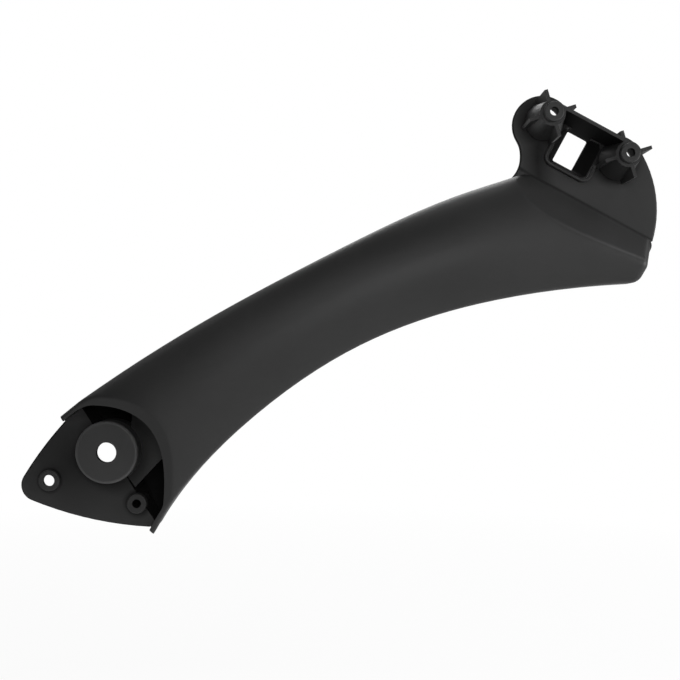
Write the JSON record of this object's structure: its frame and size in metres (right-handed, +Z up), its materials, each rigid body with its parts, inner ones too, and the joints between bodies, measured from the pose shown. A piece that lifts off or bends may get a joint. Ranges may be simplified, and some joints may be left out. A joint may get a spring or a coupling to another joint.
{
  "type": "car interior door pull handle",
  "caption": "Arched hollow pull handle for a car door, moulded with a plate at each end, a bolt seat in a cup, small bosses and finned screw posts.",
  "frame": {"origin": "axis of the door bolt hole on the face of the bolt seat", "axes": "+X along the door towards the handle's upper end, +Y from the door into the cabin along the bolt, +Z up"},
  "size_m": [0.3082, 0.037, 0.2122],
  "materials": {
    "black_plastic": "fine satin grain, moulded in black"
  },
  "bodies": {
    "root": {"door_pull_handle": "black_plastic"}
  },
  "joints": []
}
